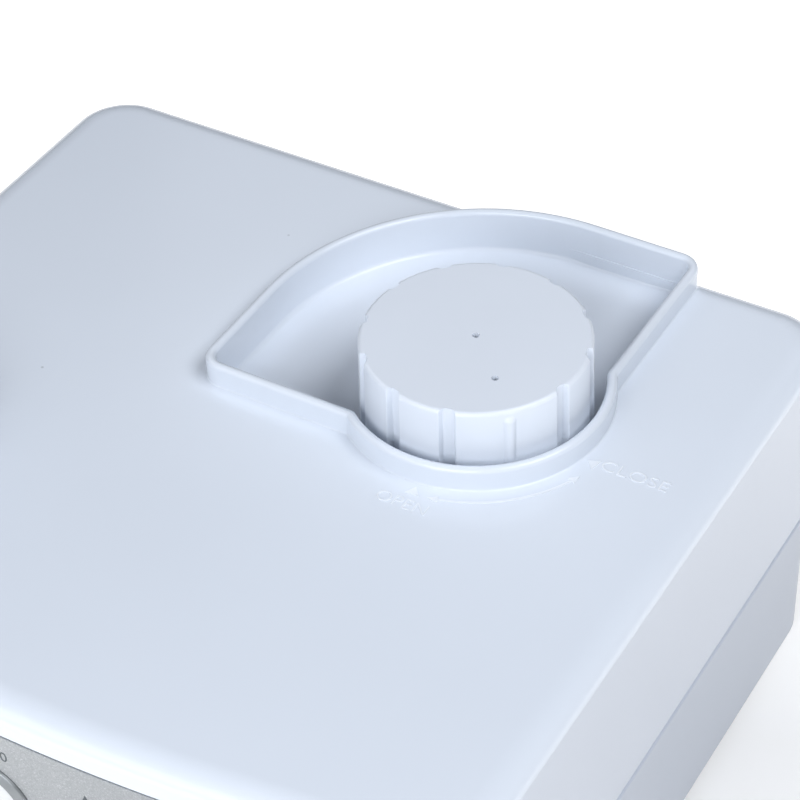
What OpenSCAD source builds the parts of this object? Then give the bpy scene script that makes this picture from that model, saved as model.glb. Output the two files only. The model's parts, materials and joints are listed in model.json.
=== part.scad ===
// Cool mist humidifier: low console with a lift-off tank, a fill basin with a
// screw cap, a bowed front panel with two dials, and a turning mist nozzle.
// X is across the body, +Y towards the back, Z up; the feet stand on Z = 0.

/* [Body] */
// Width across the body
body_w = 296; // [290:1:304]
// Depth from the middle of the bowed front to the back
body_d = 272; // [270:1:276]
// Height of the flat top deck
deck_z = 135; // [134:1:138]
// Height of the seam between base and tank
seam_z = 60; // [59:1:62]
// Radius of the bowed front in plan
bow_r = 670; // [600:10:800]
// Radius of the vertical corners
corner_r = 20; // [17:1:24]
// Wall thickness of the base housing
wall = 3.4; // [3.2:0.1:3.8]
// Height of the rubber feet
foot_h = 4; // [3.5:0.1:4]

/* [Fill basin and cap] */
// Diameter of the fill cap
cap_d = 75; // [70:1:76]
// Height of the basin rim above the deck
rim_h = 8.5; // [7:0.5:10]
// Thickness of the basin rim
rim_t = 3.4; // [3:0.1:3.6]
// Free gap between the cap and the rim
cap_gap = 4.2; // [3.8:0.1:5]
// Height of the top of the cap above the deck
cap_rise = 25; // [24:1:27]
// Number of grip places round the cap
cap_grips = 12; // [10:1:14]

/* [Controls] */
// Radius of the humidity dial's hole in the panel
dial_r = 16.2; // [15:0.2:17]
// Radius of the mist dial's hole in the panel
small_dial_r = 13; // [11:0.5:13.5]
// Height of the dials' axes
dial_z = 91.5; // [90:0.5:93]
// How far the humidity dial stands proud of the panel
dial_proud = 2; // [1.5:0.1:2.5]
// How far the mist dial stands proud of the panel's middle
knob_proud = 5; // [4:0.5:6]
// Radius of the power button's hole
button_r = 8; // [6:0.5:8.5]

/* [Mist path] */
// Outer radius of the mist duct
duct_r = 22; // [20:1:23]
// Radius of the ultrasonic disc
disc_r = 10; // [8:0.5:10.5]
// Number of blades on the blower rotor
blade_count = 24; // [18:1:30]

/* [Hidden] */
$fn = 72;
eps = 0.05;
big = 400;

// Plan of the body
back_y = (body_d + knob_proud) / 2;
front_y = back_y - body_d;
bow_cy = front_y + bow_r;
corner_x = body_w / 2 - corner_r;
corner_front_y = bow_cy - sqrt(pow(bow_r - corner_r, 2) - pow(corner_x, 2));
bow_tilt = asin(corner_x / (bow_r - corner_r));
corner_steps = 8;
bow_steps = 14;

// Heights and depths shared by several pieces
console_back = front_y + 38;
console_top = deck_z - 14;
panel_t = 1.5;
panel_z0 = 20;
panel_z1 = deck_z - 12.2;
panel_hx = 124;
cover_z0 = deck_z - 6;
cover_round = 10;
cover_t = 3;
lip_z0 = panel_z1 + 0.5;
tank_z0 = seam_z + 0.4;
tank_t = 3;
tank_floor_z = tank_z0 + tank_t;
tray_z0 = seam_z - 7;
tray_z1 = seam_z - 4;
plate_z1 = foot_h + 3.5;

// Fill basin
cap_r = cap_d / 2;
cap_x = body_w / 2 - 89;
cap_y = back_y - 88.5;
cap_z1 = deck_z + cap_rise;
cap_z0 = deck_z - 9;
cap_top = 3.5;
cap_round = 1.5;
groove_r = 1.9;
rim_z1 = deck_z + rim_h;
rim_x0 = cap_x - 84;
rim_x1 = cap_x + 39.4;
rim_y0 = cap_y - 36.2;
rim_big_r = 82;
rim_small_r = 8;
pocket_r = cap_r + cap_gap + rim_t;
basin_drop = 8;
basin_z = deck_z - 6.5;
neck_r = 29;
neck_bore = 26;
neck_z1 = deck_z + 11;

// Water tray, float, valve and transducer places
well_x0 = -128;
well_x1 = 10;
well_y0 = console_back + 5.5;
well_y1 = back_y - 76;
well_z0 = 15;
well_t = 2.5;
duct_x = -98;
duct_y = console_back + 35.5;
nozzle_wall = 2;
ring_z1 = deck_z + 3;
nozzle_z = ring_z1 + 5.5;
nozzle_split = nozzle_z + 9.5;
window_hx = 11;
swivel_r = duct_r - 4.44;
valve_x = -64;
valve_y = cap_y - 24;
valve_foot_z = 38;
valve_hub_z = 48;
float_x = -20;
float_y = -30;
float_post_r = 3;

// Blower
blower_x = 84;
blower_y = 12;
blower_r = 42;
blower_z0 = 10;
blower_z1 = 46;
outlet_x0 = 14;
outlet_y0 = blower_y + 16;
outlet_z0 = 30;

// Controls
dial_x = -6;
mist_x = -52;
button_x = 40;
button_z = dial_z - 4;
lens_z = [dial_z + 12, dial_z + 19];
board_y = front_y + 20;
board_posts = [[-62, dial_z - 24], [62, dial_z - 24], [-62, dial_z + 16], [62, dial_z + 16]];

// Base details
boss_spots = [[-136, -70], [136, -70], [-136, 100], [136, 100]];
foot_spots = [[-118, -90], [118, -90], [-118, 108], [118, 108]];
standoffs = [[28, -80], [86, -80], [28, -50], [86, -50], [102, -80], [126, -80], [102, -50], [126, -50]];
inlet_x = -100;
inlet_z = 31;
intake_x0 = 50;
intake_x1 = 130;
intake_z0 = 13;
intake_z1 = 49;

// Points of an arc from angle a0 to a1
function arc(cx, cy, r, a0, a1, n) =
    [for (k = [0 : n]) let (a = a0 + (a1 - a0) * k / n) [cx + r * cos(a), cy + r * sin(a)]];

// Plan outline of the body, moved in by i
function plan_points(i) = concat(
    arc(corner_x, back_y - corner_r, corner_r - i, 0, 90, corner_steps),
    arc(-corner_x, back_y - corner_r, corner_r - i, 90, 180, corner_steps),
    arc(-corner_x, corner_front_y, corner_r - i, 180, 270 - bow_tilt, corner_steps),
    arc(0, bow_cy, bow_r - i, 270 - bow_tilt * 0.93, 270 + bow_tilt * 0.93, bow_steps),
    arc(corner_x, corner_front_y, corner_r - i, 270 + bow_tilt, 360, corner_steps));

// Outline of the basin rim's straight and big-arc part, moved in by i;
// its front right side goes in to the cap's axis, where the pocket takes over
function rim_points(i) = concat(
    [[cap_x, cap_y], [rim_x1 - i, cap_y]],
    arc(rim_x1 - rim_small_r, back_y - rim_small_r, rim_small_r - i, 0, 90, 6),
    arc(rim_x0 + rim_big_r, back_y - rim_big_r, rim_big_r - i, 90, 180, 24),
    arc(rim_x0 + rim_small_r, rim_y0 + rim_small_r, rim_small_r - i, 180, 270, 6),
    [[cap_x, rim_y0 + i]]);

module plan(i) {
    polygon(plan_points(i));
}

module slab(i, z0, z1) {
    translate([0, 0, z0]) linear_extrude(z1 - z0) plan(i);
}

module ring_wall(i, t, z0, z1) {
    difference() {
        slab(i, z0, z1);
        slab(i + t, z0 - 1, z1 + 1);
    }
}

// A block from corner a to corner b
module block(a, b) {
    translate(a) cube(b - a);
}

module in_front_of(y) {
    intersection() {
        union() children();
        block([-big, -big, -10], [big, y, big]);
    }
}

module behind(y) {
    intersection() {
        union() children();
        block([-big, y, -10], [big, big, big]);
    }
}

// A rod along Z
module rod(x, y, z0, z1, r) {
    translate([x, y, z0]) cylinder(h = z1 - z0, r = r);
}

module tube(x, y, z0, z1, r_out, r_in) {
    difference() {
        rod(x, y, z0, z1, r_out);
        rod(x, y, z0 - 1, z1 + 1, r_in);
    }
}

// A rod along Y at height z
module rod_y(x, z, y0, y1, r) {
    translate([x, y1, z]) rotate([90, 0, 0]) cylinder(h = y1 - y0, r = r);
}

module rim_prism(i, z0, z1) {
    translate([0, 0, z0]) linear_extrude(z1 - z0) polygon(rim_points(i));
    rod(cap_x, cap_y, z0, z1, pocket_r - i);
}

// Closed helical spring as one solid, standing on z0
module coil(x, y, z0, z1, r, wire_r, turns) {
    per_turn = 16;
    sides = 6;
    rings = turns * per_turn;
    pitch = (z1 - z0 - 2 * wire_r) / rings;
    points = [for (k = [0 : rings]) for (s = [0 : sides - 1])
        let (a = 360 * k / per_turn, b = 360 * s / sides, q = r + wire_r * cos(b))
        [q * cos(a), q * sin(a), wire_r + pitch * k + wire_r * sin(b)]];
    sides_faces = [for (k = [0 : rings - 1]) for (s = [0 : sides - 1])
        let (t = (s + 1) % sides)
        [k * sides + s, k * sides + t, (k + 1) * sides + t, (k + 1) * sides + s]];
    first = [for (s = [sides - 1 : -1 : 0]) s];
    last = [for (s = [0 : sides - 1]) rings * sides + s];
    translate([x, y, z0]) polyhedron(points = points, faces = concat([first], sides_faces, [last]));
}

// ---- Base ----

module base_housing() {
    color("whitesmoke") difference() {
        union() {
            ring_wall(0, wall, foot_h, seam_z);
            in_front_of(console_back) ring_wall(0, wall, seam_z - 1, panel_z1);
            ring_wall(wall - 0.5, 4.6, tray_z0 - 3.1, tray_z0 - 0.1);
            for (p = boss_spots) screw_boss(p);
            for (p = board_posts) rod_y(p[0], p[1], front_y + 4.6, board_y - 0.1, 2.6);
            intake_frame();
        }
        panel_recess();
        rod_y(dial_x, dial_z, front_y - 1, front_y + 9, 4.3);
        rod_y(mist_x, dial_z, front_y - 1, front_y + 9, 4.3);
        rod_y(button_x, button_z, front_y - 1, front_y + 9, button_r);
        for (z = lens_z) rod_y(button_x, z, front_y - 1, front_y + 9, 2.1);
        for (p = board_posts) rod_y(p[0], p[1], board_y - 9, board_y + 1, 1.3);
        for (p = boss_spots) rod(p[0], p[1], foot_h, 24, 1.6);
        block([inlet_x - 14.2, back_y - 5, inlet_z - 11.2], [inlet_x + 14.2, back_y + 1, inlet_z + 11.2]);
        block([intake_x0, back_y - 16, intake_z0], [intake_x1, back_y + 1, intake_z1]);
    }
}

module screw_boss(p) {
    side = sign(p[0]);
    rod(p[0], p[1], plate_z1 + 0.1, 30, 4);
    translate([p[0] + side * 6.3, p[1], (plate_z1 + 30.1) / 2])
        cube([6.6, 3, 29.9 - plate_z1], center = true);
}

// Frame behind the intake window that holds the filter
module intake_frame() {
    block([intake_x0 - 2.4, back_y - 14, intake_z0 - 2.4], [intake_x1 + 2.4, back_y - 2, intake_z1 + 2.4]);
}

module panel_recess() {
    intersection() {
        ring_wall(-1, 2.8, panel_z0 - 0.3, deck_z);
        block([-panel_hx - 0.3, -big, 0], [panel_hx + 0.3, console_back, big]);
    }
}

module bottom_plate() {
    color("gainsboro") difference() {
        union() {
            slab(wall + 0.3, foot_h, plate_z1);
            for (p = standoffs) rod(p[0], p[1], plate_z1 - 1, 12, 2.4);
            for (a = [90, 210, 330]) translate([blower_x, blower_y, 0]) rotate([0, 0, a])
                rod(34, 0, plate_z1 - 1, blower_z0 - eps, 3);
        }
        for (p = boss_spots) {
            rod(p[0], p[1], foot_h - 1, foot_h + 2.2, 3.3);
            rod(p[0], p[1], foot_h - 1, plate_z1 + 1, 1.7);
        }
        for (k = [0 : 7]) block([30 + k * 8, -72, foot_h - 1], [33 + k * 8, -56, plate_z1 + 1]);
    }
}

module rubber_feet() {
    color("dimgray") for (p = foot_spots) rod(p[0], p[1], 0, foot_h, 9);
}

module housing_screws() {
    color("silver") for (p = boss_spots) {
        difference() {
            rod(p[0], p[1], foot_h + 0.4, foot_h + 2.1, 3);
            translate([p[0], p[1], foot_h + 0.9]) cube([4, 0.8, 1.2], center = true);
            translate([p[0], p[1], foot_h + 0.9]) cube([0.8, 4, 1.2], center = true);
        }
        rod(p[0], p[1], foot_h + 2, 20, 1.5);
    }
}

module water_tray() {
    color("lightgray") difference() {
        union() {
            behind(console_back + 0.5) slab(wall + 0.3, tray_z0, tray_z1);
            block([well_x0, well_y0, well_z0], [well_x1, well_y1, tray_z1]);
        }
        block([well_x0 + well_t, well_y0 + well_t, well_z0 + well_t],
              [well_x1 - well_t, well_y1 - well_t, tray_z1 + 1]);
        rod(duct_x, duct_y, well_z0 - 1, well_z0 + 4, 12);
        block([well_x1 - 4, outlet_y0 + 0.9, outlet_z0 + 0.9],
              [well_x1 + 1, outlet_y0 + 25.1, outlet_z0 + 15.1]);
    }
    color("lightgray") rod(float_x, float_y, well_z0 + 1, 46.5, float_post_r);
    color("lightgray") rod(valve_x, valve_y, well_z0 + 1, valve_foot_z - 0.4, 4);
}

module float_clip() {
    color("white") tube(float_x, float_y, 44.6, 46.4, 6, float_post_r + 0.05);
}

module transducer_clamp() {
    color("silver") difference() {
        rod(duct_x, duct_y, 8, well_z0 - 0.1, 20);
        rod(duct_x, duct_y, 10.5, well_z0 + 1, 14.2);
        rod(duct_x, duct_y, 7, 11, 6);
        for (a = [45 : 90 : 315]) translate([duct_x, duct_y, 0]) rotate([0, 0, a]) rod(17, 0, 7, 16, 1.2);
    }
}

module transducer_seal() {
    color("dimgray") difference() {
        rod(duct_x, duct_y, 10.6, well_z0 - 0.2, 14);
        rod(duct_x, duct_y, 10, 16, disc_r - 1.5);
        rod(duct_x, duct_y, 12.2, 13.2, disc_r + 0.1);
    }
}

module transducer_disc() {
    color("goldenrod") rod(duct_x, duct_y, 12.3, 13.1, disc_r);
}

module driver_board() {
    color("seagreen") block([24, -84, 12.1], [90, -46, 13.7]);
    color("black") block([28, -62, 13.7], [40, -52, 26]);
    color("navy") rod(48, -56, 13.7, 30, 5);
    color("white") block([78, -80, 13.7], [86, -64, 21]);
}

module heat_sink() {
    color("darkgray") block([48, -82, 13.8], [74, -66, 16.5]);
    color("darkgray") for (k = [0 : 6]) block([48 + k * 4, -82, 16], [50 + k * 4, -66, 36]);
}

module power_board() {
    color("peru") block([98, -84, 12.1], [130, -46, 13.7]);
    color("khaki") block([102, -78, 13.7], [124, -60, 34]);
    color("navy") rod(112, -53, 13.7, 28, 5.5);
}

module power_inlet() {
    color("black") difference() {
        union() {
            block([inlet_x - 14, back_y - 24, inlet_z - 11], [inlet_x + 14, back_y - 0.3, inlet_z + 11]);
            block([inlet_x - 17, back_y - 6.4, inlet_z - 13],
                  [inlet_x + 17, back_y - wall - 0.1, inlet_z + 13]);
        }
        block([inlet_x - 9, back_y - 17, inlet_z - 4.5], [inlet_x + 9, back_y + 1, inlet_z + 4.5]);
    }
    color("silver") for (s = [-1, 1]) rod_y(inlet_x + s * 4.3, inlet_z, back_y - 18, back_y - 5, 1.2);
}

// ---- Blower ----

module blower_housing() {
    color("darkslategray") difference() {
        union() {
            rod(blower_x, blower_y, blower_z0, blower_z1, blower_r);
            block([outlet_x0, outlet_y0, outlet_z0], [blower_x, blower_y + blower_r, blower_z1]);
        }
        rod(blower_x, blower_y, blower_z0 + 2.5, blower_z1 + 1, blower_r - 2.4);
        block([outlet_x0 - 1, outlet_y0 + 2.4, outlet_z0 + 2.4],
              [blower_x, blower_y + blower_r - 2.4, blower_z1 - 2.4]);
    }
}

module blower_cover() {
    color("dimgray") tube(blower_x, blower_y, blower_z1 + eps, blower_z1 + 2.2, blower_r, 23);
}

module blower_motor() {
    color("gray") difference() {
        rod(blower_x, blower_y, blower_z0 + 2.5 + eps, 30, 14);
        rod(blower_x, blower_y, 20, 31, 1.55);
    }
}

module blower_rotor() {
    color("black") {
        tube(blower_x, blower_y, 16, 34.5, 17.6, 15);
        tube(blower_x, blower_y, 32, 34.5, 17, 1.5);
        tube(blower_x, blower_y, 16, 18, 35, 17);
        tube(blower_x, blower_y, 40, 42, 35, 32);
        for (k = [0 : blade_count - 1])
            translate([blower_x, blower_y, 29.5]) rotate([0, 0, k * 360 / blade_count])
                translate([31, 0, 0]) rotate([0, 0, 25]) cube([7.4, 0.9, 24], center = true);
    }
}

module rotor_shaft() {
    color("silver") rod(blower_x, blower_y, 21, 34.5, 1.5 - 0.01);
}

module duct_sleeve() {
    color("dimgray") difference() {
        union() {
            block([well_x1 - 5, outlet_y0 + 1, outlet_z0 + 1],
                  [outlet_x0 - 1, outlet_y0 + 25, outlet_z0 + 15]);
            block([well_x1 + 0.1, outlet_y0 - 1, outlet_z0 - 1],
                  [outlet_x0 - 0.1, outlet_y0 + 27, outlet_z0 + 17]);
        }
        block([0, outlet_y0 + 3, outlet_z0 + 3], [20, outlet_y0 + 23, outlet_z0 + 13]);
    }
}

// ---- Console and controls ----

module console_cover() {
    color("whitesmoke") in_front_of(console_back) {
        slab(wall + 0.3, console_top - 3, console_top);
        behind(console_back - 3) slab(wall + 0.3, tray_z0, console_top);
    }
}

module front_panel() {
    color("silver") difference() {
        intersection() {
            ring_wall(0, panel_t, panel_z0, panel_z1);
            block([-panel_hx, -big, 0], [panel_hx, console_back, big]);
        }
        rod_y(dial_x, dial_z, front_y - 1, front_y + 9, dial_r);
        rod_y(mist_x, dial_z, front_y - 1, front_y + 9, small_dial_r);
        rod_y(button_x, button_z, front_y - 1, front_y + 9, button_r);
        for (z = lens_z) rod_y(button_x, z, front_y - 1, front_y + 9, 2.1);
    }
}

module control_board() {
    color("seagreen") difference() {
        block([-68, board_y, dial_z - 30], [68, board_y + 1.6, dial_z + 20]);
        for (p = board_posts) rod_y(p[0], p[1], board_y - 1, board_y + 3, 1.5);
    }
    color("black") block([-30, board_y + 1.6, dial_z - 26], [-14, board_y + 4, dial_z - 12]);
    color("white") block([10, board_y + 1.6, dial_z - 27], [30, board_y + 8, dial_z - 20]);
}

module board_screws() {
    color("silver") for (p = board_posts) {
        rod_y(p[0], p[1], board_y + 1.7, board_y + 3.2, 2.4);
        rod_y(p[0], p[1], board_y - 7, board_y + 1.8, 1.2);
    }
}

// Body of a dial's potentiometer, with its threaded bushing through the wall
module pot(x, y0) {
    difference() {
        union() {
            rod_y(x, dial_z, y0, board_y - 0.1, 11);
            rod_y(x, dial_z, y0 - 4, y0 + 1, 4);
        }
        rod_y(x, dial_z, y0 - 5, y0 + 6, 3.06);
    }
}

module humidistat() {
    color("darkgreen") pot(dial_x, front_y + 6);
}

module mist_pot() {
    color("darkgreen") pot(mist_x, front_y + 8.5);
}

module tact_switch() {
    color("black") block([button_x - 3, board_y - 6, button_z - 3],
                         [button_x + 3, board_y - 0.1, button_z + 3]);
    color("gray") rod_y(button_x, button_z, board_y - 8, board_y - 6, 1.7);
}

module indicator_lenses() {
    color("lightgreen") for (z = lens_z) rod_y(button_x, z, front_y + 0.9, board_y - 0.1, 2);
}

// Dial body with a chamfered rim and a sunk seat for its face
module dial(x, r, y0, y1) {
    translate([x, y1, dial_z]) rotate([90, 0, 0]) difference() {
        rotate_extrude() polygon([[0, 0], [r, 0], [r, y1 - y0 - 1.6], [r - 2.6, y1 - y0], [0, y1 - y0]]);
        translate([0, 0, y1 - y0 - 1.2]) cylinder(h = 2, r = r - 2.8);
        translate([0, 0, -1]) cylinder(h = y1 - y0 - 1.2, r = 3.05);
    }
}

// Slightly domed disc that fills a dial's seat
module dial_face(x, r, y0) {
    translate([x, y0 + 1.15, dial_z]) rotate([90, 0, 0])
        rotate_extrude() polygon([[0, 0], [r - 2.9, 0], [r - 2.9, 0.9], [r - 6, 1.12], [0, 1.15]]);
}

module humidity_knob() {
    color("gray") dial(dial_x, dial_r - 0.4, front_y - dial_proud, front_y + 1.5);
}

module humidity_knob_face() {
    color("ivory") dial_face(dial_x, dial_r - 0.4, front_y - dial_proud);
}

module humidity_shaft() {
    color("silver") rod_y(dial_x, dial_z, front_y - dial_proud + 2.4, front_y + 11, 3);
}

module mist_knob() {
    color("gray") dial(mist_x, small_dial_r - 0.4, front_y - knob_proud, front_y + 2.4);
}

module mist_knob_face() {
    color("ivory") dial_face(mist_x, small_dial_r - 0.4, front_y - knob_proud);
}

module mist_shaft() {
    color("silver") rod_y(mist_x, dial_z, front_y - knob_proud + 2.4, front_y + 13, 3);
}

module power_button() {
    color("ivory") {
        rod_y(button_x, button_z, front_y - 1, front_y + 7.5, button_r - 0.3);
        rod_y(button_x, button_z, front_y + 5.6, front_y + 7.5, button_r + 1.2);
        rod_y(button_x, button_z, front_y + 7.4, board_y - 9.8, 2);
    }
}

// ---- Tank ----

// Shallow funnel above the basin floor, lowered by drop
module funnel(drop) {
    translate([cap_x, cap_y, basin_z - basin_drop - drop]) cylinder(h = basin_drop, r1 = 30, r2 = 96);
    rod(cap_x, cap_y, basin_z - drop, deck_z + 60, 250);
}

// Rim's outline moved in by i, kept inside the tank's back wall by back_i below the deck
module basin_prism(i, back_i, z1) {
    rim_prism(i, cover_z0, z1);
    intersection() {
        rim_prism(i, deck_z - 20, cover_z0 + eps);
        slab(back_i, deck_z - 21, deck_z);
    }
}

module basin_block() {
    intersection() {
        basin_prism(0, tank_t + 0.8, rim_z1);
        funnel(cover_t);
    }
}

module basin_rim() {
    color("aliceblue") difference() {
        basin_block();
        basin_prism(rim_t, tank_t + rim_t, rim_z1 + 1);
    }
}

module basin_floor() {
    color("aliceblue") difference() {
        intersection() {
            basin_block();
            basin_prism(rim_t + eps, tank_t + rim_t + eps, rim_z1);
        }
        funnel(0);
        rod(cap_x, cap_y, deck_z - 30, deck_z, neck_r + eps);
    }
}

module fill_neck() {
    color("white") {
        tube(cap_x, cap_y, deck_z - 25, neck_z1, neck_r, neck_bore);
        for (a = [0, 120, 240]) translate([cap_x, cap_y, neck_z1 - 8]) rotate([0, 0, a])
            translate([neck_r + 0.5, 0, 0]) cube([2.4, 8, 2.5], center = true);
    }
}

module top_cover() {
    color("aliceblue") difference() {
        union() {
            difference() {
                hull() for (a = [0 : 18 : 90])
                    translate([0, 0, cover_z0 + 6 * sin(a) - 0.02])
                        linear_extrude(0.02) plan(cover_round * (1 - cos(a)));
                slab(tank_t + 0.4, cover_z0 - 1, deck_z - cover_t);
            }
            in_front_of(console_back - 0.3) ring_wall(0, 3, lip_z0, cover_z0 + 0.2);
            tube(duct_x, duct_y, deck_z - 1, ring_z1, duct_r + 4, duct_r + 0.1);
        }
        rim_prism(-eps, cover_z0 - 2, deck_z + 1);
        rod(duct_x, duct_y, deck_z - 10, deck_z + 10, duct_r + 0.1);
    }
}

module tank_shell() {
    color("white") difference() {
        behind(console_back + 0.6) slab(0.4, tank_z0, cover_z0 - 0.1);
        behind(console_back + 0.6 + tank_t) slab(0.4 + tank_t, tank_z0 - 1, deck_z);
    }
}

module tank_floor() {
    color("white") difference() {
        behind(console_back + 0.6 + tank_t + eps) slab(0.4 + tank_t + eps, tank_z0, tank_floor_z);
        rod(duct_x, duct_y, tank_z0 - 1, tank_floor_z + 1, duct_r + 0.1);
        rod(valve_x, valve_y, tank_z0 - 1, tank_floor_z + 1, 17);
    }
}

module mist_duct() {
    color("white") tube(duct_x, duct_y, tray_z1 + 1, deck_z + 2, duct_r, duct_r - 2);
}

module duct_seal() {
    color("dimgray") tube(duct_x, duct_y, tank_floor_z + 0.1, tank_floor_z + 2.5, duct_r + 3, duct_r + 0.1);
}

module valve_body() {
    color("lightsteelblue") {
        difference() {
            union() {
                rod(valve_x, valve_y, 44, tank_floor_z + 1.1, 16.9);
                rod(valve_x, valve_y, tank_z0 - 2.9, tank_z0 - 0.1, 23);
            }
            rod(valve_x, valve_y, 43, tank_floor_z + 2, 13.4);
        }
        difference() {
            union() {
                rod(valve_x, valve_y, valve_hub_z, valve_hub_z + 4, 6);
                for (a = [0, 120, 240]) translate([valve_x, valve_y, valve_hub_z]) rotate([0, 0, a])
                    translate([4.5, -1.2, 0]) cube([10, 2.4, 3]);
            }
            rod(valve_x, valve_y, valve_hub_z - 1, valve_hub_z + 5, 3.05);
        }
    }
}

module valve_plunger() {
    color("white") {
        rod(valve_x, valve_y, valve_foot_z, tank_floor_z + 4.6, 3);
        rod(valve_x, valve_y, valve_foot_z, valve_foot_z + 2, 6.5);
        rod(valve_x, valve_y, tank_floor_z + 2.5, tank_floor_z + 4.6, 16);
    }
}

module valve_seal() {
    color("dimgray") tube(valve_x, valve_y, tank_floor_z + 1.4, tank_floor_z + 2.4, 16, 12.5);
}

module valve_spring() {
    color("silver") coil(valve_x, valve_y, valve_foot_z + 2.1, valve_hub_z - 0.1, 4.6, 0.5, 4);
}

// ---- Cap and nozzle ----

module cap_gasket() {
    color("dimgray") tube(cap_x, cap_y, neck_z1 + 0.3, neck_z1 + 2.9, neck_r + 1.4, neck_bore - 1);
}

function cap_angle(k) = 315 + 360 / cap_grips * k;

module fill_cap() {
    side = cap_r + 0.6;
    color("aliceblue") difference() {
        union() {
            translate([cap_x, cap_y, 0]) rotate_extrude() polygon(concat(
                [[0, cap_z1 - cap_top], [33.4, cap_z1 - cap_top], [33.4, cap_z0], [side, cap_z0]],
                arc(cap_r - cap_round, cap_z1 - cap_round, cap_round, 0, 90, 5),
                [[0, cap_z1]]));
            translate([cap_x, cap_y, 0]) rotate([0, 0, cap_angle(0)]) cap_rib();
        }
        for (k = [1 : cap_grips - 1])
            translate([cap_x, cap_y, 0]) rotate([0, 0, cap_angle(k)]) cap_groove();
        rod(cap_x, cap_y, cap_z1 - 8, cap_z1 + 1, 1.2);
        translate([cap_x, cap_y, 0]) rotate([0, 0, cap_angle(0)])
            rod(cap_r * 0.573, 0, cap_z1 - 8, cap_z1 + 1, 1.2);
    }
}

// Ring inside the cap that holds the gasket down on the neck
module cap_plug() {
    color("aliceblue") tube(cap_x, cap_y, neck_z1 + 3, cap_z1 - cap_top - eps, 31, 24.5);
}

module cap_groove() {
    floor_r = cap_r - 1.3;
    end_z = cap_z1 - groove_r;
    translate([floor_r, -groove_r, cap_z0 - 1]) cube([4, 2 * groove_r, end_z - cap_z0 + 1]);
    translate([floor_r, 0, end_z]) rotate([0, 90, 0]) cylinder(h = 4, r = groove_r, $fn = 32);
}

module cap_rib() {
    translate([cap_r - 0.5, 0, cap_z0]) cylinder(h = cap_z1 - cap_z0 - 4.5, r = 1.6, $fn = 32);
    translate([cap_r - 0.5, 0, cap_z1 - 4.5]) sphere(r = 1.6, $fn = 32);
}

module nozzle_collar() {
    color("white") {
        tube(duct_x, duct_y, ring_z1 + 0.2, ring_z1 + 5.2, duct_r + 4, swivel_r);
        tube(duct_x, duct_y, deck_z - 13, ring_z1 + 0.3, duct_r - 2.3, swivel_r);
    }
}

// Hollow nozzle turned about the duct's axis, with its neck and its outlet window
module nozzle_body() {
    r = duct_r + 3;
    neck = swivel_r - 0.06;
    bore = neck - nozzle_wall;
    round_r = 11;
    round_z = nozzle_z + 3.5;
    difference() {
        translate([duct_x, duct_y, 0]) rotate_extrude() polygon(concat(
            [[bore, nozzle_z - 5], [neck, nozzle_z - 5], [neck, nozzle_z], [r, nozzle_z], [r, round_z]],
            arc(r - round_r, round_z, round_r, 0, 90, 8),
            [[0, round_z + round_r], [0, round_z + round_r - nozzle_wall]],
            arc(r - round_r, round_z, round_r - nozzle_wall, 90, 0, 8),
            [[r - nozzle_wall, nozzle_z + 2], [bore, nozzle_z + 2]]));
        block([duct_x - window_hx, duct_y - r - 1, nozzle_z + 2.5],
              [duct_x + window_hx, duct_y, nozzle_split]);
    }
}

module mist_nozzle() {
    color("white") intersection() {
        nozzle_body();
        rod(duct_x, duct_y, deck_z, nozzle_split, duct_r + 5);
    }
}

module nozzle_top() {
    color("white") intersection() {
        nozzle_body();
        rod(duct_x, duct_y, nozzle_split + eps, cap_z1, duct_r + 5);
    }
}

// ---- Float, intake ----

module float() {
    color("orange") difference() {
        rod(float_x, float_y, 18, 34, 14);
        rod(float_x, float_y, 17, 35, float_post_r + 0.3);
        rod(float_x, float_y, 31, 35, 7.1);
    }
}

module float_magnet() {
    color("black") tube(float_x, float_y, 31.05, 33.9, 7, float_post_r + 0.4);
}

module intake_grille() {
    color("whitesmoke") difference() {
        block([intake_x0 + 0.4, back_y - 3, intake_z0 + 0.4],
              [intake_x1 - 0.4, back_y - 0.2, intake_z1 - 0.4]);
        for (k = [0 : 7]) block([intake_x0 + 5, back_y - 4, intake_z0 + 3.1 + k * 3.9],
                                [intake_x1 - 5, back_y + 1, intake_z0 + 5.1 + k * 3.9]);
    }
}

module air_filter() {
    color("darkslategray")
        block([intake_x0 + 0.8, back_y - 13, intake_z0 + 0.8],
              [intake_x1 - 0.8, back_y - 3.2, intake_z1 - 0.8]);
}

base_housing();
bottom_plate();
rubber_feet();
housing_screws();
water_tray();
float_clip();
transducer_clamp();
transducer_seal();
transducer_disc();
driver_board();
heat_sink();
power_board();
power_inlet();
blower_housing();
blower_cover();
blower_motor();
duct_sleeve();
console_cover();
front_panel();
control_board();
board_screws();
humidistat();
mist_pot();
tact_switch();
indicator_lenses();
top_cover();
basin_rim();
basin_floor();
fill_neck();
tank_shell();
tank_floor();
mist_duct();
duct_seal();
valve_body();
valve_spring();
valve_plunger();
valve_seal();
cap_gasket();
fill_cap();
cap_plug();
nozzle_collar();
mist_nozzle();
nozzle_top();
humidity_knob();
humidity_knob_face();
humidity_shaft();
mist_knob();
mist_knob_face();
mist_shaft();
power_button();
float();
float_magnet();
blower_rotor();
rotor_shaft();
intake_grille();
air_filter();
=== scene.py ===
import json
import math

import bmesh
import bpy
from mathutils import Matrix, Vector
from mathutils.geometry import delaunay_2d_cdt


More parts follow.
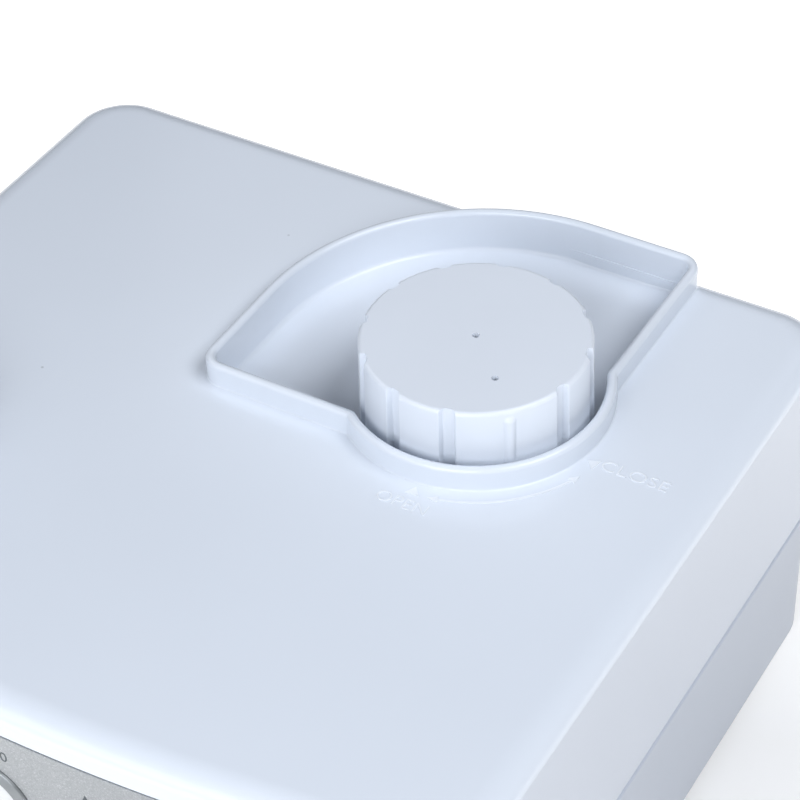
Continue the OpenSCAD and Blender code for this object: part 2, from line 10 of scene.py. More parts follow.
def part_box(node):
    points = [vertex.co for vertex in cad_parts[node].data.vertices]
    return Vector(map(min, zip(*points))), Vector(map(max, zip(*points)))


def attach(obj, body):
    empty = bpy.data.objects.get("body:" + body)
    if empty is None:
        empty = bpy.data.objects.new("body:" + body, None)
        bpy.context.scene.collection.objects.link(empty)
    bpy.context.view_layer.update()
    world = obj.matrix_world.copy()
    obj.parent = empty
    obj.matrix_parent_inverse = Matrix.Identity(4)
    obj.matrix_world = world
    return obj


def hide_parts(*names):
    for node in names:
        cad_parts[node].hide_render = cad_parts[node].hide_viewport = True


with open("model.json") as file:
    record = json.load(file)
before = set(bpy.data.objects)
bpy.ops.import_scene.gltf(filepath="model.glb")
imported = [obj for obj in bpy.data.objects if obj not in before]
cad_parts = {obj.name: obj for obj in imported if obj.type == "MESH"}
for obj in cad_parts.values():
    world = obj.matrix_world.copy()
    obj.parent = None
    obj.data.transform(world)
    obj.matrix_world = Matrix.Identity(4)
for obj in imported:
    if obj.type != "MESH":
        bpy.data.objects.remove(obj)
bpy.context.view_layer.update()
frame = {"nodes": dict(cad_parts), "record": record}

# Every length below is in millimetres until a mesh is made; MM turns it into metres.
MM = 0.001


def cad(node):
    """Lowest and highest corner of a CAD node, in millimetres."""
    low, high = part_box(node)
    return low / MM, high / MM


def middle(node):
    low, high = cad(node)
    return (low + high) / 2


# ---- Places and sizes, from the frame ----

COVER_LOW, COVER_HIGH = cad("top_cover")
CAP_LOW, CAP_HIGH = cad("fill_cap")
TANK_LOW, TANK_HIGH = cad("tank_shell")
HOUSING_LOW, HOUSING_HIGH = cad("base_housing")
PANEL_LOW, PANEL_HIGH = cad("front_panel")
GRILLE_LOW, GRILLE_HIGH = cad("intake_grille")
INLET_LOW, INLET_HIGH = cad("power_inlet")

BODY_X = COVER_HIGH.x
BACK_Y = COVER_HIGH.y
FRONT_Y = COVER_LOW.y
BOW_R = 670.0
CORNER_R = 20.0
BOW_Y = FRONT_Y + BOW_R
CORNER_X = BODY_X - CORNER_R
CORNER_FRONT_Y = BOW_Y - math.sqrt((BOW_R - CORNER_R) ** 2 - CORNER_X ** 2)
BOW_TILT = math.degrees(math.asin(CORNER_X / (BOW_R - CORNER_R)))

DECK_Z = 135.0
COVER_SKIN = 3.0
COVER_WALL = 3.4
COVER_EDGE_Z = 129.0
EDGE_WIDE = 10.0
EDGE_HIGH = DECK_Z - COVER_EDGE_Z
LIP_Z = 123.3
CONSOLE_BACK = -95.5
COVER_STEP_Y = CONSOLE_BACK - 0.3
SEAM_Z = 60.0

CAP_X = middle("fill_cap").x
CAP_Y = middle("fill_cap").y
CAP_TOP = CAP_HIGH.z
CAP_BOTTOM = CAP_LOW.z
CAP_R = 37.5
CAP_GRIPS = 12
RIB_ANGLE = 315.0

RIM_TOP = 143.5
RIM_T = 3.4
RIM_X0 = CAP_X - 84
RIM_X1 = CAP_X + 39.4
RIM_Y0 = CAP_Y - 36.2
RIM_BIG_R = 82.0
RIM_CORNER_R = 8.0
POCKET_R = 45.1
BASIN_START_R = 30.0
BASIN_START_Z = COVER_EDGE_Z - 8.5
BASIN_SLOPE = 8 / 66
NECK_R = 29.0
NECK_BORE = 26.0
NECK_LOW, NECK_HIGH = cad("fill_neck")
NECK_TOP = NECK_HIGH.z
NECK_BOTTOM = NECK_LOW.z

DUCT_X = middle("mist_nozzle").x
DUCT_Y = middle("mist_nozzle").y
DUCT_HOLE = 22.1
DUCT_RING = 26.0
TANK_T = 3.0
TANK_GAP = 0.4
TANK_FRONT_R = 2.0
VALVE_X = middle("valve_body").x
VALVE_Y = middle("valve_body").y
VALVE_HOLE = 17.0

DIAL_Z = middle("humidity_knob").z
DIAL_X = middle("humidity_knob").x
DIAL_R = 16.2
MIST_X = middle("mist_knob").x
MIST_R = 13.0
SHAFT_HOLE_R = 4.3
KNOB_GAP = 0.4
BUTTON_X = middle("power_button").x
BUTTON_Z = middle("power_button").z
BUTTON_R = 8.0
LENS_R = 2.05
DROP_X = 31.0
DROP_Z = 112.2
LENS_Z = [DIAL_Z + 12, DIAL_Z + 19]


# ---- Outlines ----

def arc(x, y, r, start, end, n):
    """Points of an arc, its ends included; angles in degrees."""
    turns = [math.radians(start + (end - start) * k / n) for k in range(n + 1)]
    return [(x + r * math.cos(a), y + r * math.sin(a)) for a in turns]


def line(a, b, n):
    """Points between a and b, without b."""
    return [(a[0] + (b[0] - a[0]) * k / n, a[1] + (b[1] - a[1]) * k / n) for k in range(n)]


def circle(x, y, r, n=96):
    return arc(x, y, r, 0, 360 - 360 / n, n - 1)


def split_at(points, axis, values, gap=0.01):
    """Adds a pair of points wherever the outline crosses a value, so that a step can stand there."""
    out = []
    for k, p in enumerate(points):
        q = points[(k + 1) % len(points)]
        out.append(p)
        cuts = [v for v in values if (p[axis] - v) * (q[axis] - v) < 0]
        for v in sorted(cuts, key=lambda v: abs(v - p[axis])):
            side = math.copysign(gap, q[axis] - p[axis])
            for at in (v - side, v + side):
                t = (at - p[axis]) / (q[axis] - p[axis])
                out.append((p[0] + (q[0] - p[0]) * t, p[1] + (q[1] - p[1]) * t))
    return out


def plan(inset, corner_steps=20, bow_steps=64):
    """Outline of the body, moved in by inset."""
    r = CORNER_R - inset
    side = BODY_X - inset
    front_right = arc(CORNER_X, CORNER_FRONT_Y, r, 270 + BOW_TILT, 360, corner_steps)
    back_right = arc(CORNER_X, BACK_Y - CORNER_R, r, 0, 90, corner_steps)
    back_left = arc(-CORNER_X, BACK_Y - CORNER_R, r, 90, 180, corner_steps)
    front_left = arc(-CORNER_X, CORNER_FRONT_Y, r, 180, 270 - BOW_TILT, corner_steps)
    bow = arc(0, BOW_Y, BOW_R - inset, 270 - BOW_TILT, 270 + BOW_TILT, bow_steps)[1:-1]
    right = line((side, CORNER_FRONT_Y), (side, BACK_Y - CORNER_R), 44)[1:]
    back = line((CORNER_X, BACK_Y - inset), (-CORNER_X, BACK_Y - inset), 100)[1:]
    left = line((-side, BACK_Y - CORNER_R), (-side, CORNER_FRONT_Y), 44)[1:]
    return front_right + right + back_right + back + back_left + left + front_left + bow


def plan_depth(x, y):
    """How far a point lies inside the body's outline."""
    back = BACK_Y - CORNER_R
    if y > back:
        if abs(x) > CORNER_X:
            return CORNER_R - math.hypot(abs(x) - CORNER_X, y - back)
        return min(BACK_Y - y, BODY_X - abs(x))
    if y < CORNER_FRONT_Y:
        out, down = abs(x) - CORNER_X, CORNER_FRONT_Y - y
        if out > 0 and math.degrees(math.atan2(out, down)) > BOW_TILT:
            return CORNER_R - math.hypot(out, down)
    return min(BODY_X - abs(x), BOW_R - math.hypot(x, y - BOW_Y), BACK_Y - y)


def deck_height(x, y):
    """Height of the top cover's outside, with its rounded edge."""
    t = min(max(plan_depth(x, y), 0), EDGE_WIDE) / EDGE_WIDE
    return COVER_EDGE_Z + EDGE_HIGH * math.sqrt(1 - (1 - t) ** 2)


def rim_outline(inset):
    """Outline of the basin's rim, moved in by inset: right side, back right corner, back,
    big left arc, left side, front left corner, front, and the pocket round the cap."""
    crease = 0.5
    r = POCKET_R - inset
    corner = RIM_CORNER_R - inset
    right, front = RIM_X1 - inset, RIM_Y0 + inset
    meets_right = math.acos((right - CAP_X) / r)
    meets_front = math.pi + math.asin((CAP_Y - front) / r)
    turn = crease / r
    right_foot = (right, CAP_Y + r * math.sin(meets_right) + crease)
    front_end = (CAP_X + r * math.cos(meets_front) - crease, front)
    corner_x, corner_y = RIM_X1 - RIM_CORNER_R, BACK_Y - RIM_CORNER_R
    big_x, big_y = RIM_X0 + RIM_BIG_R, BACK_Y - RIM_BIG_R
    left_x, left_y = RIM_X0 + RIM_CORNER_R, RIM_Y0 + RIM_CORNER_R
    return (
        line(right_foot, (right, corner_y), 20)
        + arc(corner_x, corner_y, corner, 0, 90, 14)
        + line((corner_x, BACK_Y - inset), (big_x, BACK_Y - inset), 11)[1:]
        + arc(big_x, big_y, RIM_BIG_R - inset, 90, 180, 60)
        + line((RIM_X0 + inset, big_y), (RIM_X0 + inset, left_y), 12)[1:]
        + arc(left_x, left_y, corner, 180, 270, 14)
        + line((left_x, front), front_end, 16)[1:] + [front_end]
        + arc(CAP_X, CAP_Y, r, math.degrees(meets_front + turn),
              360 + math.degrees(meets_right - turn), 80)
    )


def basin_floor(x, y):
    """Height of the basin's floor, a shallow cone about the cap's axis."""
    return BASIN_START_Z + BASIN_SLOPE * (math.hypot(x - CAP_X, y - CAP_Y) - BASIN_START_R)


def inside(point, loop):
    """True where a point lies inside a closed loop."""
    x, y = point
    hit = False
    for k, (x0, y0) in enumerate(loop):
        x1, y1 = loop[k - 1]
        if (y0 > y) != (y1 > y) and x < (x1 - x0) * (y - y0) / (y1 - y0) + x0:
            hit = not hit
    return hit


# ---- Mesh building ----

class Shell:
    """Points in millimetres and faces that become one object."""

    def __init__(self):
        self.points = []
        self.faces = []

    def ring(self, points):
        start = len(self.points)
        self.points += [tuple(p) for p in points]
        return list(range(start, len(self.points)))

    def level(self, outline, z):
        return self.ring([(x, y, z) for x, y in outline])

    def strip(self, a, b):
        n = len(a)
        self.faces += [(a[k], a[(k + 1) % n], b[(k + 1) % n], b[k]) for k in range(n)]

    def skin(self, rings):
        for a, b in zip(rings, rings[1:]):
            self.strip(a, b)

    def disc(self, ring):
        self.faces.append(tuple(ring))

    def sheet(self, outer, holes, place, rings=(), flip=False):
        """Fills the area between an outer loop and holes with triangles; place(x, y) gives a point."""
        points, edges = [], []
        for loop in [outer, *holes, *rings]:
            start = len(points)
            points += [Vector(p) for p in loop]
            n = len(loop)
            edges += [(start + k, start + (k + 1) % n) for k in range(n)]
        verts, _, faces, _, _, _ = delaunay_2d_cdt(points, edges, [], 0, 1e-5)
        start = len(self.points)
        self.points += [tuple(place(v.x, v.y)) for v in verts]
        for face in faces:
            centre = sum((verts[k] for k in face), Vector((0, 0))) / len(face)
            if inside(centre, outer) and not any(inside(centre, hole) for hole in holes):
                tri = [start + k for k in face]
                self.faces.append(tuple(reversed(tri)) if flip else tuple(tri))

    def make(self, name, sharp=38, weld=0.004):
        mesh = bpy.data.meshes.new(name)
        mesh.from_pydata([Vector(p) * MM for p in self.points], [], self.faces)
        work = bmesh.new()
        work.from_mesh(mesh)
        bmesh.ops.remove_doubles(work, verts=work.verts, dist=weld * MM)
        bmesh.ops.dissolve_degenerate(work, edges=work.edges, dist=weld * MM)
        loose = [v for v in work.verts if not v.link_faces]
        bmesh.ops.delete(work, geom=loose, context="VERTS")
        bmesh.ops.recalc_face_normals(work, faces=work.faces)
        work.to_mesh(mesh)
        work.free()
        obj = bpy.data.objects.new(name, mesh)
        bpy.context.scene.collection.objects.link(obj)
        soften(obj, sharp)
        return obj


def soften(obj, sharp=38):
    """Smooth shading with sharp edges kept, and flat faces kept flat by weighted normals."""
    work = bmesh.new()
    work.from_mesh(obj.data)
    for face in work.faces:
        face.smooth = True
    for edge in work.edges:
        edge.smooth = len(edge.link_faces) == 2 and edge.calc_face_angle(0) < math.radians(sharp)
    work.to_mesh(obj.data)
    work.free()
    weighted = obj.modifiers.new("weighted", "WEIGHTED_NORMAL")
    weighted.keep_sharp = True
    weighted.weight = 80


def carve(obj, cutters, sharp=38):
    """Cuts closed meshes out of obj and keeps the result as its mesh."""
    obj.modifiers.clear()
    for cutter in cutters:
        cut = obj.modifiers.new("cut", "BOOLEAN")
        cut.object = cutter
        cut.solver = "EXACT"
    graph = bpy.context.evaluated_depsgraph_get()
    mesh = bpy.data.meshes.new_from_object(obj.evaluated_get(graph))
    obj.modifiers.clear()
    obj.data = mesh
    for cutter in cutters:
        bpy.data.objects.remove(cutter)
    soften(obj, sharp)


def round_profile(r, start, end, n=5):
    """Offsets along a quarter round of radius r between two angles in degrees."""
    return [(r * math.cos(math.radians(start + (end - start) * k / n)),
             r * math.sin(math.radians(start + (end - start) * k / n))) for k in range(n + 1)]


def turned(name, profile, centre, axis="Z", n=128, sharp=38):
    """A closed solid turned from (radius, height) points; heights run along +Z or out along -Y."""
    shell = Shell()
    x, y, z = centre

    def at(r, h, a):
        u, v = r * math.cos(a), r * math.sin(a)
        return (x + u, y + v, z + h) if axis == "Z" else (x + u, y - h, z + v)

    rings = []
    for r, h in profile:
        rings.append(shell.ring([at(max(r, 0), h, 2 * math.pi * k / n) for k in range(n)]))
    shell.skin(rings)
    shell.strip(rings[-1], rings[0])
    return shell.make(name, sharp)


def slot_mesh(x0, x1, z0, z1, y0, y1, r):
    """A closed prism along Y with rounded corners, used as a cutter."""
    shell = Shell()
    loop = (arc(x1 - r, z1 - r, r, 0, 90, 6) + arc(x0 + r, z1 - r, r, 90, 180, 6)
            + arc(x0 + r, z0 + r, r, 180, 270, 6) + arc(x1 - r, z0 + r, r, 270, 360, 6))
    rings = [shell.ring([(x, y, z) for x, z in loop]) for y in (y0, y1)]
    shell.skin(rings)
    shell.disc(rings[0])
    shell.disc(rings[1])
    return shell.make("cutter")


def rod_mesh(x, z, r, y0, y1):
    """A closed rod along Y, used as a cutter."""
    return turned("cutter", [(0, 0), (r, 0), (r, y1 - y0), (0, y1 - y0)], (x, y1, z), axis="Y", n=64)


# ---- Materials ----

def nodes_of(name):
    material = bpy.data.materials.new(name)
    material.use_nodes = True
    tree = material.node_tree
    shader = next(n for n in tree.nodes if n.type == "BSDF_PRINCIPLED")
    return material, tree, shader


def add(tree, kind, **inputs):
    node = tree.nodes.new(kind)
    for key, value in inputs.items():
        node.inputs[key.replace("_", " ")].default_value = value
    return node


def object_coordinates(tree):
    return tree.nodes.new("ShaderNodeTexCoord").outputs["Object"]


def noise(tree, scale, detail=3.0):
    node = add(tree, "ShaderNodeTexNoise", Scale=scale, Detail=detail)
    tree.links.new(object_coordinates(tree), node.inputs["Vector"])
    return node.outputs["Fac"]


def ramp(tree, fac, stops):
    """Colour ramp from (position, colour) stops."""
    node = tree.nodes.new("ShaderNodeValToRGB")
    node.color_ramp.elements[0].position = stops[0][0]
    node.color_ramp.elements[0].color = (*stops[0][1], 1)
    node.color_ramp.elements[1].position = stops[-1][0]
    node.color_ramp.elements[1].color = (*stops[-1][1], 1)
    for position, colour in stops[1:-1]:
        node.color_ramp.elements.new(position).color = (*colour, 1)
    tree.links.new(fac, node.inputs["Fac"])
    return node.outputs["Color"]


def remap(tree, fac, low, high, start=0.0, end=1.0):
    node = add(tree, "ShaderNodeMapRange")
    node.inputs["From Min"].default_value = start
    node.inputs["From Max"].default_value = end
    node.inputs["To Min"].default_value = low
    node.inputs["To Max"].default_value = high
    tree.links.new(fac, node.inputs["Value"])
    return node.outputs["Result"]


def shade(colour, k):
    return tuple(min(c * k, 1.0) for c in colour)


def bump(tree, shader, height, distance, strength=0.5):
    node = add(tree, "ShaderNodeBump", Strength=strength, Distance=distance)
    tree.links.new(height, node.inputs["Height"])
    tree.links.new(node.outputs["Normal"], shader.inputs["Normal"])


def moulded(name, colour, roughness, mottle=0.02, grain=900.0, depth=0.00002, metallic=0.0):
    """Moulded plastic: faint cloudy colour, uneven gloss and a fine surface grain."""
    material, tree, shader = nodes_of(name)
    cloud = noise(tree, 22.0)
    tree.links.new(ramp(tree, cloud, [(0.3, shade(colour, 1 - mottle)), (0.7, shade(colour, 1 + mottle))]),
                   shader.inputs["Base Color"])
    tree.links.new(remap(tree, noise(tree, 60.0), roughness * 0.85, roughness * 1.15),
                   shader.inputs["Roughness"])
    shader.inputs["Metallic"].default_value = metallic
    bump(tree, shader, noise(tree, grain, 2.0), depth)
    return material


def dusty_white(name, colour, roughness, specks=True):
    """Glossy white moulding with a slow swell in the surface and rare specks of dust."""
    material, tree, shader = nodes_of(name)
    cloud = noise(tree, 9.0)
    base = ramp(tree, cloud, [(0.3, shade(colour, 0.985)), (0.7, shade(colour, 1.01))])
    if specks:
        cells = add(tree, "ShaderNodeTexVoronoi", Scale=46.0, Randomness=1.0)
        tree.links.new(object_coordinates(tree), cells.inputs["Vector"])
        dot = remap(tree, cells.outputs["Distance"], 1.0, 0.0, 0.012, 0.03)
        rare = remap(tree, noise(tree, 12.0), 0.0, 1.0, 0.5, 0.56)
        both = add(tree, "ShaderNodeMath")
        both.operation = "MULTIPLY"
        tree.links.new(dot, both.inputs[0])
        tree.links.new(rare, both.inputs[1])
        mix = tree.nodes.new("ShaderNodeMix")
        mix.data_type = "RGBA"
        tree.links.new(both.outputs[0], mix.inputs["Factor"])
        tree.links.new(base, mix.inputs["A"])
        mix.inputs["B"].default_value = (*shade(colour, 0.72), 1)
        base = mix.outputs["Result"]
    tree.links.new(base, shader.inputs["Base Color"])
    tree.links.new(remap(tree, noise(tree, 35.0), roughness * 0.88, roughness * 1.12),
                   shader.inputs["Roughness"])
    bump(tree, shader, noise(tree, 160.0, 2.0), 0.00002, 0.35)
    return material


def lacquered_silver(name):
    """Silver lacquer with a fine fleck."""
    material, tree, shader = nodes_of(name)
    flake = add(tree, "ShaderNodeTexVoronoi", Scale=2600.0)
    tree.links.new(object_coordinates(tree), flake.inputs["Vector"])
    dark, mid, bright = (0.34, 0.355, 0.365), (0.44, 0.455, 0.465), (0.58, 0.595, 0.605)
    grey = ramp(tree, flake.outputs["Color"], [(0.0, dark), (0.75, mid), (1.0, bright)])
    tree.links.new(grey, shader.inputs["Base Color"])
    shader.inputs["Metallic"].default_value = 0.55
    tree.links.new(remap(tree, noise(tree, 400.0), 0.34, 0.46), shader.inputs["Roughness"])
    shader.inputs["Coat Weight"].default_value = 0.3
    shader.inputs["Coat Roughness"].default_value = 0.12
    bump(tree, shader, flake.outputs["Distance"], 0.00002, 0.4)
    return material


def metal(name, colour, roughness):
    material, tree, shader = nodes_of(name)
    grain = noise(tree, 700.0, 4.0)
    tree.links.new(ramp(tree, grain, [(0.25, shade(colour, 0.85)), (0.75, shade(colour, 1.08))]),
                   shader.inputs["Base Color"])
    shader.inputs["Metallic"].default_value = 1.0
    tree.links.new(remap(tree, noise(tree, 90.0), roughness * 0.8, roughness * 1.3),
                   shader.inputs["Roughness"])
    bump(tree, shader, grain, 0.00003, 0.3)
    return material


def laminate(name, board, track):
    """Circuit board laminate with a faint pattern of tracks under the lacquer."""
    material, tree, shader = nodes_of(name)
    cells = add(tree, "ShaderNodeTexVoronoi", Scale=150.0)
    cells.distance = "MANHATTAN"
    tree.links.new(object_coordinates(tree), cells.inputs["Vector"])
    tree.links.new(ramp(tree, cells.outputs["Distance"], [(0.35, board), (0.5, track), (0.62, board)]),
                   shader.inputs["Base Color"])
    tree.links.new(remap(tree, noise(tree, 300.0), 0.3, 0.5), shader.inputs["Roughness"])
    bump(tree, shader, cells.outputs["Distance"], 0.00004, 0.4)
    return material


def foam(name, colour):
    material, tree, shader = nodes_of(name)
    cells = add(tree, "ShaderNodeTexVoronoi", Scale=900.0)
    tree.links.new(object_coordinates(tree), cells.inputs["Vector"])
    stops = [(0.1, shade(colour, 1.7)), (0.6, shade(colour, 0.5))]
    tree.links.new(ramp(tree, cells.outputs["Distance"], stops), shader.inputs["Base Color"])
    tree.links.new(remap(tree, cells.outputs["Distance"], 0.85, 1.0), shader.inputs["Roughness"])
    bump(tree, shader, cells.outputs["Distance"], 0.0006, 0.9)
    return material


def clear_green(name):
    material, tree, shader = nodes_of(name)
    tree.links.new(ramp(tree, noise(tree, 200.0), [(0.3, (0.10, 0.42, 0.20)), (0.7, (0.18, 0.55, 0.28))]),
                   shader.inputs["Base Color"])
    tree.links.new(remap(tree, noise(tree, 90.0), 0.12, 0.2), shader.inputs["Roughness"])
    shader.inputs["Coat Weight"].default_value = 0.5
    return material


WHITE = (0.79, 0.838, 0.905)

MATERIALS = {
    "white_gloss": dusty_white("white_gloss", WHITE, 0.16),
    "cap_white": moulded("cap_white", (0.80, 0.845, 0.91), 0.36, mottle=0.012, grain=1400.0),
    "tray_grey": moulded("tray_grey", (0.60, 0.63, 0.66), 0.42),
    "silver_panel": lacquered_silver("silver_panel"),
    "dial_grey": moulded("dial_grey", (0.30, 0.315, 0.32), 0.34, metallic=0.3),
    "dial_ivory": moulded("dial_ivory", (0.78, 0.79, 0.79), 0.33, mottle=0.01),
    "rubber_dark": moulded("rubber_dark", (0.045, 0.045, 0.05), 0.72, depth=0.00006),
    "rubber_grey": moulded("rubber_grey", (0.30, 0.31, 0.32), 0.62, depth=0.00005),
    "black_plastic": moulded("black_plastic", (0.028, 0.028, 0.032), 0.46, mottle=0.1, depth=0.00006),
    "board_green": laminate("board_green", (0.02, 0.13, 0.06), (0.05, 0.24, 0.11)),
    "board_brown": laminate("board_brown", (0.26, 0.16, 0.07), (0.34, 0.22, 0.11)),
    "steel": metal("steel", (0.58, 0.58, 0.58), 0.3),
    "aluminium": metal("aluminium", (0.74, 0.75, 0.76), 0.34),
    "brass": metal("brass", (0.72, 0.54, 0.24), 0.26),
    "lens_green": clear_green("lens_green"),
    "clear_blue": moulded("clear_blue", (0.45, 0.58, 0.70), 0.25),
    "foam_dark": foam("foam_dark", (0.05, 0.055, 0.06)),
    "float_orange": moulded("float_orange", (0.78, 0.30, 0.06), 0.6, depth=0.00008),
}
# Tank side walls: a darker copy of the white plastic, with painted shade on the sides
SHADED_SATIN_WHITE = dusty_white("white_satin_painted_shade", (0.68, 0.72, 0.79), 0.3, specks=False)
# Base housing: a still darker copy of the white plastic, painted shade for the lower sides
SHADED_BASE_WHITE = dusty_white("white_base_painted_shade", (0.55, 0.59, 0.66), 0.34, specks=False)
# Raised words and marks: a lighter copy of the white plastic, a painted highlight on their relief
PAINTED_HIGHLIGHT_WHITE = moulded("raised_white_painted_highlight", (0.86, 0.895, 0.94), 0.3, mottle=0.01)
PRINT_GREY = moulded("print_grey", (0.09, 0.105, 0.115), 0.5)


def finish(piece, body, slot, *nodes, material=None):
    """Gives a piece its material, that of its slot unless one is given, and its body, and hides the CAD
    nodes it stands for.
    """
    piece.data.materials.clear()
    piece.data.materials.append(material or MATERIALS[slot])
    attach(piece, body)
    if nodes:
        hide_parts(*nodes)
    return piece


def carry_cad_nodes():
    """Gives every CAD node the material of its slot."""
    for part in frame["record"]["subparts"]:
        obj = frame["nodes"][part["node"]]
        obj.data.materials.clear()
        obj.data.materials.append(MATERIALS[part["material_slot"]])


# ---- Tank ----

def rim_profile_rings(shell):
    """Rings from the deck over the rim's lip down to the rounded foot on the basin's floor, with the
    outline there.
    """
    base_r, lip_r, floor_r = 0.6, 1.65, 1.6
    rings = []

    def on_deck(inset, lift):
        points = []
        for x, y in rim_outline(inset):
            # The rim's foot spreads outwards but not past the body's back
            y = min(y, BACK_Y)
            points.append((x, y, deck_height(x, y) + lift))
        rings.append(shell.ring(points))

    for across, up in round_profile(base_r, 90, 0, 4):
        on_deck(across - base_r, base_r - up)
    for across, up in round_profile(lip_r, 0, 90):
        rings.append(shell.level(rim_outline(lip_r - across), RIM_TOP - lip_r + up))
    for across, up in round_profile(lip_r, 90, 0):
        rings.append(shell.level(rim_outline(RIM_T - lip_r + across), RIM_TOP - lip_r + up))
    inner = []
    for across, up in round_profile(floor_r, 0, 90):
        outline = rim_outline(RIM_T + floor_r - across)
        inner = outline
        rings.append(shell.ring([(x, y, basin_floor(x, y) + floor_r - up) for x, y in outline]))
    return rings, inner


def toward_neck(outline, share, radius):
    """The outline drawn in towards a circle about the cap's axis."""
    out = []
    for x, y in outline:
        dx, dy = x - CAP_X, y - CAP_Y
        far = math.hypot(dx, dy)
        r = far + (radius - far) * share
        out.append((CAP_X + dx / far * r, CAP_Y + dy / far * r))
    return out


def tank_cover():
    shell = Shell()
    rings, inner = rim_profile_rings(shell)
    deck_loop = [shell.points[k][:2] for k in rings[0]]
    floor_steps, neck_fillet, neck_ease = 9, 1.2, 0.4
    for k in range(1, floor_steps + 1):
        outline = toward_neck(inner, k / floor_steps, NECK_R + neck_fillet)
        rings.append(shell.ring([(x, y, basin_floor(x, y)) for x, y in outline]))
    round_r = 0.8

    def neck_ring(r, z):
        rings.append(shell.level(toward_neck(inner, 1, r), z))

    floor_z = basin_floor(CAP_X + NECK_R, CAP_Y)
    for across, up in round_profile(neck_fillet, 270, 180, 4)[1:]:
        neck_ring(NECK_R + neck_fillet + across, floor_z + neck_fillet + up)
    for across, up in round_profile(round_r, 0, 90, 4):
        neck_ring(NECK_R - round_r + across, NECK_TOP - round_r + up)
    for across, up in round_profile(round_r, 90, 0, 4):
        neck_ring(NECK_BORE + round_r - across, NECK_TOP - round_r + up)
    neck_ring(NECK_BORE, NECK_BOTTOM + neck_ease)
    neck_ring(NECK_BORE + neck_ease, NECK_BOTTOM)
    neck_ring(NECK_R - neck_ease, NECK_BOTTOM)
    neck_ring(NECK_R, NECK_BOTTOM + neck_ease)

    def clipped(inset, depth):
        """The rim's outline kept at least depth inside the body's back."""
        return [(x, min(y, BACK_Y - depth)) for x, y in rim_outline(inset)]

    wall_gap = 0.4
    outer = clipped(0, COVER_WALL + wall_gap)
    for k in range(0, floor_steps + 1):
        outline = toward_neck(outer, 1 - k / floor_steps, NECK_R)
        rings.append(shell.ring([(x, y, basin_floor(x, y) - COVER_SKIN) for x, y in outline]))
    ceiling_z = DECK_Z - COVER_SKIN
    rings.append(shell.level(outer, ceiling_z))
    shell.skin(rings)

    # The deck, with its rounded edge
    edge_angles = (0, 8, 16, 24, 32, 40, 48, 56, 64, 72, 81, 90)
    edge = [(1 - math.cos(math.radians(a))) * EDGE_WIDE for a in edge_angles]
    stepped = [split_at(plan(t), 1, [COVER_STEP_Y]) for t in edge]
    duct_fillet, clearance = 1.0, 0.9
    duct_loop = circle(DUCT_X, DUCT_Y, DUCT_RING + duct_fillet)

    def clear_of_rim(p):
        return not inside(p, deck_loop) and min(
            math.hypot(p[0] - x, p[1] - y) for x, y in deck_loop[::2]) > clearance

    def on_cover(x, y):
        return (x, y, deck_height(x, y))

    points, edges = [], []
    for loop in [deck_loop, duct_loop]:
        start = len(points)
        points += loop
        edges += [(start + k, start + (k + 1) % len(loop)) for k in range(len(loop))]
    for loop in stepped:
        kept = {}
        for k, p in enumerate(loop):
            if p[1] < 0 or clear_of_rim(p):
                kept[k] = len(points)
                points.append(p)
        for k in kept:
            follow = (k + 1) % len(loop)
            if follow in kept:
                edges.append((kept[k], kept[follow]))
    verts, _, faces, _, _, _ = delaunay_2d_cdt([Vector(p) for p in points], edges, [], 0, 1e-5)
    start = len(shell.points)
    shell.points += [on_cover(v.x, v.y) for v in verts]
    for face in faces:
        centre = sum((verts[k] for k in face), Vector((0, 0))) / len(face)
        in_opening = inside(centre, deck_loop) or inside(centre, duct_loop)
        if plan_depth(*centre) > 0.001 and not in_opening:
            shell.faces.append(tuple(start + k for k in face))

    # The collar round the mist duct
    collar = []
    collar_round, collar_z = 0.8, DECK_Z + 2.2

    def collar_ring(r, z):
        collar.append(shell.level(circle(DUCT_X, DUCT_Y, r), z))

    for across, up in round_profile(duct_fillet, 90, 0, 4):
        collar_ring(DUCT_RING + duct_fillet - across, DECK_Z + duct_fillet - up)
    for across, up in round_profile(collar_round, 0, 90, 4):
        collar_ring(DUCT_RING - collar_round + across, collar_z + up)
    for across, up in round_profile(collar_round, 90, 0, 4):
        collar_ring(DUCT_HOLE + collar_round - across, collar_z + up)
    collar_ring(DUCT_HOLE, ceiling_z)
    shell.skin(collar)

    # The wall below the rounded edge, deeper in front of the console, and the ceiling
    def lower_edge(y):
        return LIP_Z if y < COVER_STEP_Y else COVER_EDGE_Z

    bevel = 0.5
    wall = [shell.level(stepped[0], COVER_EDGE_Z)]
    for inset, drop in ((0, bevel), (bevel * 0.3, bevel * 0.3), (bevel, 0), (COVER_SKIN, 0)):
        outline = split_at(plan(inset), 1, [COVER_STEP_Y])
        wall.append(shell.ring([(x, y, min(lower_edge(y) + drop, COVER_EDGE_Z)) for x, y in outline]))
    wall.append(shell.level(split_at(plan(COVER_WALL), 1, [COVER_STEP_Y]), ceiling_z))
    shell.skin(wall)
    hole = circle(DUCT_X, DUCT_Y, DUCT_HOLE)
    shell.sheet(split_at(plan(COVER_WALL), 1, [COVER_STEP_Y]), [outer, hole],
                lambda x, y: (x, y, ceiling_z), flip=True)
    return finish(shell.make("tank_cover"), "tank", "white_gloss",
                  "top_cover", "basin_rim", "basin_floor", "fill_neck")


# ---- Tank shell ----

